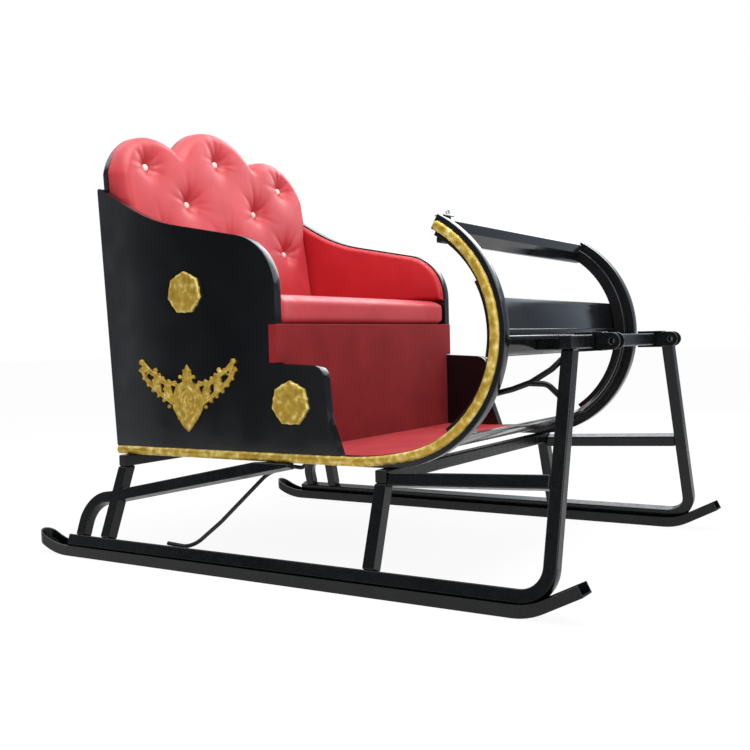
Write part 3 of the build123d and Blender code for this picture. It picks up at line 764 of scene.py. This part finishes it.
line = [(x, sill_height, 0.0, -1.0) for x in np.linspace(sill_from, sweep_x, 160)]
line += [turned(sweep_x, sweep_z, sweep_radius, angle)
         for angle in np.linspace(-90, sweep_end, 40)[1:]]
line += [turned(curl_x, curl_z, curl_radius, angle)
         for angle in np.linspace(sweep_end, curl_end, 170)[1:]]
travel = [0.0]
for a, b in zip(line, line[1:]):
    travel.append(travel[-1] + math.hypot(b[0] - a[0], b[1] - a[1]))
print("moulding length:", round(travel[-1]), "mm")

# %% [markdown]
# ## The moulding's section
# The section is half an oval, 26 mm wide and 10 mm high. At each station it is turned to the
# line's normal, and near both ends it shrinks along a quarter circle.

# %% Rail moulding
half_width, crown = 13, 10
section = [(half_width * math.cos(t), crown * math.sin(t)) for t in np.linspace(math.pi, 0, 15)]
points, faces = [], []
for (x, z, nx, nz), s in zip(line, travel):
    end = min(s, travel[-1] - s)
    shrink = math.sqrt(max(1 - (1 - min(end / half_width, 1)) ** 2, 0.0001))
    for side, lift in section:
        bumpy = 1 + 0.05 * noise.noise(Vector((s / 16, side / 7, 0))) * min(lift / 4, 1)
        points.append(at(x + nx * side * shrink, -(wall_face + lift * shrink * bumpy),
                         z + nz * side * shrink))
wide = len(section)
for i in range(len(line) - 1):
    for j in range(wide):
        k = (j + 1) % wide
        faces.append([i * wide + j, i * wide + k, (i + 1) * wide + k, (i + 1) * wide + j])
faces.append(list(range(wide)))
faces.append([(len(line) - 1) * wide + j for j in range(wide)])
moulding = new_piece("moulding_right", points, faces)
moulding.data.materials.append(gold)
for piece, node in ((moulding, "rail_moulding_right"),
                    (mirrored(moulding, "moulding_left"), "rail_moulding_left")):
    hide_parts(node)
    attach(piece, "root")
print("moulding faces:", len(faces))

# %% [markdown]
# ## Rosettes
# Each wall carries two seven-sided cast rosettes. A polar grid gives the outline, a raised rim,
# a ring of petals and a boss, with a little unevenness from the casting. Each form is a height
# that fades with its distance from a ring, so they run into one another as in a casting.

# %% Rosettes
rings, spokes = 44, 196
base_height, rim_height, petal_height, boss_height, cast_grain = 8.0, 2.4, 0.6, 1.6, 0.3
rim_at, rim_spread, petals_at, petal_spread, boss_spread = 0.92, 0.06, 0.64, 0.16, 0.3
corner_bulge, corner_spread = 2.2, 0.08


def rosette_height(share, angle, sides, seed):
    """The relief at a share of the radius and an angle."""
    petals = petal_height * abs(math.cos(sides * angle))
    height = base_height + rim_height * math.exp(-((share - rim_at) / rim_spread) ** 2)
    height += petals * math.exp(-((share - petals_at) / petal_spread) ** 2)
    height += boss_height * math.exp(-(share / boss_spread) ** 4)
    grain = Vector((share * 5 * math.cos(angle), share * 5 * math.sin(angle), seed))
    return height + cast_grain * noise.noise(grain)


def rosette(name, x, z, radius=65.0, sides=7):
    """A seven-sided casting on the wall, with its middle at x and z."""
    half_side = math.pi / sides
    points, faces = [], []
    for i in range(rings + 1):
        for j in range(spokes):
            angle = 2 * math.pi * j / spokes
            off = abs((angle + half_side) % (2 * half_side) - half_side)
            reach = radius * math.cos(half_side) / math.cos(half_side - off)
            reach += corner_bulge * math.exp(-((half_side - off) / corner_spread) ** 2)
            height = rosette_height(i / rings, angle, sides, x) if i < rings else 0
            points.append(at(x + reach * i / rings * math.sin(angle), -(wall_face + height),
                             z + reach * i / rings * math.cos(angle)))
    for i in range(rings):
        for j in range(spokes):
            k = (j + 1) % spokes
            faces.append([i * spokes + j, i * spokes + k, (i + 1) * spokes + k,
                          (i + 1) * spokes + j])
    return new_piece(name, points, faces)


for label, x, z in (("upper", -1137, 809), ("lower", -750, 482)):
    made = rosette(f"{label}_rosette_right", x, z)
    made.data.materials.append(gold)
    for piece, side in ((made, "right"), (mirrored(made, f"{label}_rosette_left"), "left")):
        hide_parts(f"rosette_{label}_{side}")
        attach(piece, "root")
print("rosette faces:", len(made.data.polygons))

# %% [markdown]
# ## The leaf swag
# Below the upper rosette is a cast swag: an oval boss in a pointed shield, with two pierced wings
# set with beads. The parts are modelled one by one and then remeshed into a single skin, which
# softens the joints just as a casting does. All are made of three forms: a bead, a rib of
# overlapping beads, and a plate. Places are in millimetres, across and up from the swag's foot.

# %% Swag parts
unit_ball = bmesh.new()
bmesh.ops.create_uvsphere(unit_ball, u_segments=14, v_segments=9, radius=1.0)
ball_points = np.array([v.co for v in unit_ball.verts])
ball_faces = [[v.index for v in face.verts] for face in unit_ball.faces]
unit_ball.free()
cast_points, cast_faces = [], []


def bead(x, z, radius, lift=0.0, stretch=(1, 1)):
    """A ball, or an oval, standing on the wall."""
    first = len(cast_points)
    size = np.array([radius * stretch[0], radius * stretch[1], radius])
    cast_points.extend(ball_points * size + np.array([x, z, lift]))
    cast_faces.extend([first + i for i in face] for face in ball_faces)


def rib(path, thick, lift, steps=26):
    """A rounded rib along points, thinner towards its ends."""
    for i in range(steps + 1):
        t = i / steps * (len(path) - 1)
        k = min(int(t), len(path) - 2)
        a, b = path[k], path[k + 1]
        f = t - k
        size = thick * (0.7 + 0.3 * math.sin(math.pi * i / steps))
        bead(a[0] + f * (b[0] - a[0]), a[1] + f * (b[1] - a[1]), size, lift)


def plate(outline, height):
    """A flat plate with a given outline."""
    first, count = len(cast_points), len(outline)
    cast_points.extend(np.array([x, z, -3.0]) for x, z in outline)
    cast_points.extend(np.array([x, z, height]) for x, z in outline)
    cast_faces.append([first + i for i in range(count)][::-1])
    cast_faces.append([first + count + i for i in range(count)])
    for i in range(count):
        j = (i + 1) % count
        cast_faces.append([first + i, first + j, first + count + j, first + count + i])


print("ball of", len(ball_faces), "faces")

# %% [markdown]
# ## The swag's shield
# The shield is a plate with two ovals of beads round the boss, a ring of larger beads on it, and
# short ribs that stand for the leaves at its point and its crown.

# %% Swag shield
boss_z = 96
shield = [(0, 2), (24, 26), (44, 50), (60, 74), (64, 100), (54, 126), (42, 146), (20, 154),
          (17, 180), (9, 194), (0, 207)]
plate(shield + [(-x, z) for x, z in shield[-2:0:-1]], 4.0)
for i in range(40):
    turn = 2 * math.pi * i / 40
    bead(27 * math.cos(turn), boss_z + 37 * math.sin(turn), 3.8, 4.5)
    bead(39 * math.cos(turn), boss_z - 2 + 50 * math.sin(turn), 3.0, 3.5)
for i in range(12):
    turn = 2 * math.pi * i / 12
    bead(13 * math.cos(turn), boss_z + 21 * math.sin(turn), 4.2, 4.0)
bead(0, boss_z, 8, 2, (1, 1.8))
rib([(0, 8), (0, 24), (0, 42)], 6, 2)
rib([(0, 146), (0, 172), (0, 198)], 7, 2)
for side in (-1, 1):
    rib([(side * 10, 14), (side * 26, 34), (side * 46, 62)], 5, 2)
    rib([(side * 8, 30), (side * 16, 42), (side * 20, 54)], 4, 4)
    rib([(side * 10, 150), (side * 15, 160), (side * 12, 178)], 5, 2)
    bead(side * 27, 169, 6.5, 3)
    bead(side * 14, 188, 4.0, 3)
print("shield beads:", len(cast_points) // len(ball_points))

# %% [markdown]
# ## The swag's wings
# Each wing is two long ribs that meet near its tip, five links across the gap between them, beads
# on and beside them, and three scrolls, each a row of beads along a tightening turn.

# %% Swag wings
upper = [(38, 142), (62, 149), (86, 150), (104, 157), (118, 169), (132, 177), (146, 182),
         (160, 192), (172, 204), (184, 213)]
under = [(58, 86), (76, 99), (96, 109), (116, 123), (134, 137), (150, 147), (165, 160),
         (178, 177), (187, 194)]
links = [[(66, 100), (70, 122), (74, 142)], [(80, 106), (82, 124), (86, 146)],
         [(112, 128), (118, 146), (116, 164)], [(126, 134), (130, 152), (126, 172)],
         [(176, 180), (172, 192), (178, 206)]]
wing_beads = [(184, 214, 9.5, 4), (191, 189, 6.5, 3), (128, 190, 7.5, 3), (98, 165, 6, 3),
              (74, 157, 6, 3), (50, 152, 6.5, 3), (74, 79, 6.5, 3), (96, 97, 6, 3),
              (118, 111, 6, 3), (140, 127, 6.5, 3), (160, 144, 6, 3), (178, 164, 6, 3),
              (90, 132, 5, 7), (116, 148, 7, 6), (134, 158, 6, 6), (70, 124, 7, 6),
              (150, 190, 5.5, 6), (172, 198, 6, 6), (36, 44, 5, 3), (112, 176, 5.5, 3)]
scrolls = ((86, 118, 15), (122, 152, 14), (168, 180, 12))
for side in (-1, 1):
    for path, thick in [(upper, 8.5), (under, 8.5)] + [(link, 9.0) for link in links]:
        rib([(side * x, z) for x, z in path], thick, 1.5, steps=8 * len(path))
    for x, z, size, lift in wing_beads:
        bead(side * x, z, size, lift)
    for scroll_x, scroll_z, radius in scrolls:
        for i in range(14):
            turn = side * 4.4 * i / 13 + 0.6
            reach = radius * (1 - 0.75 * i / 13)
            bead(side * scroll_x + reach * math.cos(turn), scroll_z + reach * math.sin(turn), 2.6, 9)
print("swag beads:", len(cast_points) // len(ball_points))

# %% [markdown]
# ## The swag's skin
# A voxel remesh of 1.6 mm turns plate, ribs and beads into one closed skin, and two rounds of
# smoothing soften it. Then it is stood on the wall, with no point behind the wall's face.

# %% Swag skin
swag_x, swag_z, swag_thickness = -1137, 388, 13
casting = bpy.data.meshes.new("swag_right_cast")
casting.from_pydata([tuple(p / 1000) for p in cast_points], [], cast_faces)
swag = stand("swag_right_cast", casting)
skin = swag.modifiers.new("one skin", "REMESH")
skin.mode = "VOXEL"
skin.voxel_size = 0.0016
soften = swag.modifiers.new("soften", "SMOOTH")
soften.factor = 0.5
soften.iterations = 2
settle(swag)
for vertex in swag.data.vertices:
    x, z, lift = (c * 1000 for c in vertex.co)
    lift += 0.5 * noise.noise(Vector((x / 5, z / 5, 3)))
    vertex.co = at(swag_x + x, -(wall_face + min(max(lift, 0), swag_thickness)), swag_z + z)
swag.data.flip_normals()
swag.data.materials.append(gold)
for piece, node in ((swag, "swag_right"), (mirrored(swag, "swag_left_cast"), "swag_left")):
    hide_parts(node)
    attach(piece, "root")
print("swag faces:", len(swag.data.polygons))

# %% [markdown]
# ## The rein eye
# At the right end of the dash's top board sits a small zinc plate, which bridges the gap beside
# the rail, with two screws and an eye for the reins. It is made from three plain forms: a block
# with rounded edges, flattened domes, and a ring of round wire.

# %% Plate, screws and eye
eye_x, plate_y, plate_z, eye_y, eye_z = -281, -467, 969.8, -449, 979.5
ring_radius, wire_radius, around, about = 7.5, 2.3, 36, 12
block = bmesh.new()
bmesh.ops.create_cube(block, size=1.0)
bmesh.ops.scale(block, vec=(0.030, 0.054, 0.0032), verts=block.verts)
bmesh.ops.translate(block, vec=at(eye_x, plate_y, plate_z), verts=block.verts)
bmesh.ops.bevel(block, geom=block.edges[:], offset=0.0011, segments=3, affect="EDGES", profile=0.5)
eye_plate = from_shell("rein_eye_plate", block)
ring_points, ring_faces = [], []
for i in range(around):
    turn = 2 * math.pi * i / around
    for j in range(about):
        bend = 2 * math.pi * j / about
        reach = ring_radius + wire_radius * math.cos(bend)
        ring_points.append(at(eye_x + wire_radius * math.sin(bend), eye_y + reach * math.cos(turn),
                              eye_z + reach * math.sin(turn)))
        after, next_bend = (i + 1) % around, (j + 1) % about
        ring_faces.append([i * about + j, i * about + next_bend, after * about + next_bend,
                           after * about + j])
eye = new_piece("rein_eye_ring", ring_points, ring_faces)
screws = [dome(f"rein_eye_screw_{n + 1}", at(eye_x, y, 971.2), (0, 0, 1), 3.6, 1.8)
          for n, y in enumerate((-486, -467))]
for piece in [eye_plate, eye] + screws:
    piece.data.materials.append(zinc)
    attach(piece, "root")
print("rein eye pieces:", 2 + len(screws))

# %% [markdown]
# ## The floor
# The studio has a pale matt floor. What the camera and clear reflections see of it is nearly
# plain white, set through Light Path, so no extra light has to be thrown on the sleigh for that.
# The small share that is left of the floor's own shading keeps the sleigh's soft shadow.

# %% Floor
def seen_clearly(tree):
    """1 for rays from the camera, by clear reflection or through glass, and 0 for the rest."""
    path = add(tree, "LightPath")
    mirror = add(tree, "Math", {0: path.outputs["Is Camera Ray"],
                                1: path.outputs["Is Glossy Ray"]}, operation="MAXIMUM")
    glass = add(tree, "Math", {0: mirror.outputs["Value"],
                               1: path.outputs["Is Transmission Ray"]}, operation="MAXIMUM")
    return glass.outputs["Value"]


white = (1, 1, 1, 1)
floor_half, floor_whiteness = 40, 0.92
pale, tree, place = new_material("pale studio floor")
matt = add(tree, "BsdfPrincipled", {"Base Color": white, "Roughness": 1.0,
                                    "Specular IOR Level": 0.0})
glow = add(tree, "Emission", {"Color": white, "Strength": 1.0})
share = add(tree, "Math", {0: seen_clearly(tree), 1: floor_whiteness}, operation="MULTIPLY")
blend = add(tree, "MixShader", {0: share.outputs["Value"], 1: matt.outputs["BSDF"],
                                2: glow.outputs["Emission"]})
add(tree, "OutputMaterial", {"Surface": blend.outputs["Shader"]})
floor_mesh = bpy.data.meshes.new("studio_floor")
floor_mesh.from_pydata([(x * floor_half, y * floor_half, 0)
                        for x, y in ((-1, -1), (1, -1), (1, 1), (-1, 1))], [], [(0, 1, 2, 3)])
floor_mesh.materials.append(pale)
studio_floor = stand("studio_floor", floor_mesh)
print("floor:", 2 * floor_half, "m square")

# %% [markdown]
# ## The world
# The light from all round is like a sky's, brighter above than at the sides, so that tops are
# light and undersides dark. The camera and clear reflections see it as plain white.

# %% World
world = bpy.data.worlds.new("studio")
bpy.context.scene.world = world
world.use_nodes = True
tree = world.node_tree
tree.nodes.clear()
up = add(tree, "SeparateXYZ", {0: add(tree, "TexCoord").outputs["Generated"]}).outputs["Z"]
sky = add(tree, "MapRange", {"Value": up, "From Min": 0.0, "From Max": 0.9, "To Min": 0.3,
                             "To Max": 0.9})
fill = add(tree, "Background", {"Color": white, "Strength": sky.outputs["Result"]})
plain = add(tree, "Background", {"Color": white, "Strength": 1.0})
both = add(tree, "MixShader", {0: seen_clearly(tree), 1: fill.outputs["Background"],
                               2: plain.outputs["Background"]})
add(tree, "OutputWorld", {"Surface": both.outputs["Shader"]})
print("world nodes:", len(tree.nodes))

# %% [markdown]
# ## Reflection cards
# Black lacquer shows little of its own colour: what the eye sees is what it mirrors. Four cards
# round the set give it that: a dark one with a light band on the right, a blue-grey one on the
# left, one as bright as an open sky high behind that, and one high over the rear, for silver edges.
# They only show in reflections, and a slow noise bends their colour bands.

# %% Reflection cards
def reflection_card(name, low, high, stops, strength=1.0):
    """A card along X, from (x, y, z) to (x, y, z), with colours from left to right."""
    mesh = bpy.data.meshes.new(name)
    (x0, y0, z0), (x1, y1, z1) = low, high
    mesh.from_pydata([(x0, y0, z0), (x1, y0, z0), (x1, y1, z1), (x0, y1, z1)], [], [(0, 1, 2, 3)])
    card = stand(name, mesh)
    card.visible_camera = card.visible_diffuse = False
    card.visible_shadow = card.visible_transmission = False
    material, tree, place = new_material(name)
    cloud = add(tree, "TexNoise", {"Vector": place, "Scale": 1.1, "Detail": 2.0})
    run = add(tree, "SeparateXYZ", {0: place}).outputs["X"]
    drift = add(tree, "Math", {0: cloud.outputs["Fac"], 1: 0.5, 2: run}, operation="MULTIPLY_ADD")
    share = add(tree, "MapRange", {"Value": drift.outputs["Value"], "From Min": x0 + 0.25,
                                   "From Max": x1 + 0.25})
    colour = add(tree, "ValToRGB", {"Fac": share.outputs["Result"]}, stops)
    glow = add(tree, "Emission", {"Color": colour.outputs["Color"], "Strength": strength})
    add(tree, "OutputMaterial", {"Surface": glow.outputs["Emission"]})
    mesh.materials.append(material)
    return card


cards = [
    reflection_card("dark_card", (-7.0, -3.0, 0.0), (1.4, -3.0, 5.0), [
        (0.0, "#6A6D70"), (0.40, "#60646A"), (0.425, "#E4E8F0"), (0.46, "#D0D4DC"),
        (0.475, "#4A4D52"), (0.57, "#3C4046"), (0.66, "#84868A"), (0.8, "#6C6E72"),
        (1.0, "#8C8E92")]),
    reflection_card("blue_card", (-1.5, 4.2, 0.0), (8.0, 4.2, 2.3), [
        (0.0, "#A4AFBE"), (0.3, "#B2BDCB"), (0.5, "#8E99A8"), (0.7, "#BCC6D2"),
        (1.0, "#A4AFBE")]),
    reflection_card("sky_card", (-4.0, 6.0, 3.2), (9.0, 6.0, 9.0), [
        (0.0, "#DCE8F2"), (0.5, "#E6EEF4"), (1.0, "#DCE8F2")], strength=2.6),
    reflection_card("top_card", (-10.0, -4.0, 8.0), (-2.0, 3.0, 8.0), [
        (0.0, "#E4ECF2"), (1.0, "#DCE8F2")], strength=3.0),
]
print("cards:", len(cards))

# %% [markdown]
# ## Lamps
# One large soft lamp hangs over the sleigh, one stands in front, and one high on the far side
# draws bright rims along the rails. Their size keeps every shadow soft.

# %% Lamps
def soft_lamp(name, place, target, size, power):
    """A square area lamp aimed at a point."""
    lamp = bpy.data.lights.new(name, "AREA")
    lamp.size = size
    lamp.energy = power
    holder = stand(name, lamp)
    holder.location = place
    holder.rotation_euler = (Vector(target) - Vector(place)).to_track_quat("-Z", "Y").to_euler()
    return holder


lamps = [
    soft_lamp("top_lamp", (0.5, -0.3, 4.2), (-0.2, 0, 0.6), 2.4, 120),
    soft_lamp("front_lamp", (3.6, -2.2, 2.4), (0, 0, 0.7), 2.0, 50),
    soft_lamp("rim_lamp", (-0.1, 3.9, 3.4), (0.2, 0, 0.8), 3.0, 85),
]
bpy.context.scene.view_settings.view_transform = "Standard"
print("lamps:", len(lamps), "with", sum(lamp.data.energy for lamp in lamps), "W")
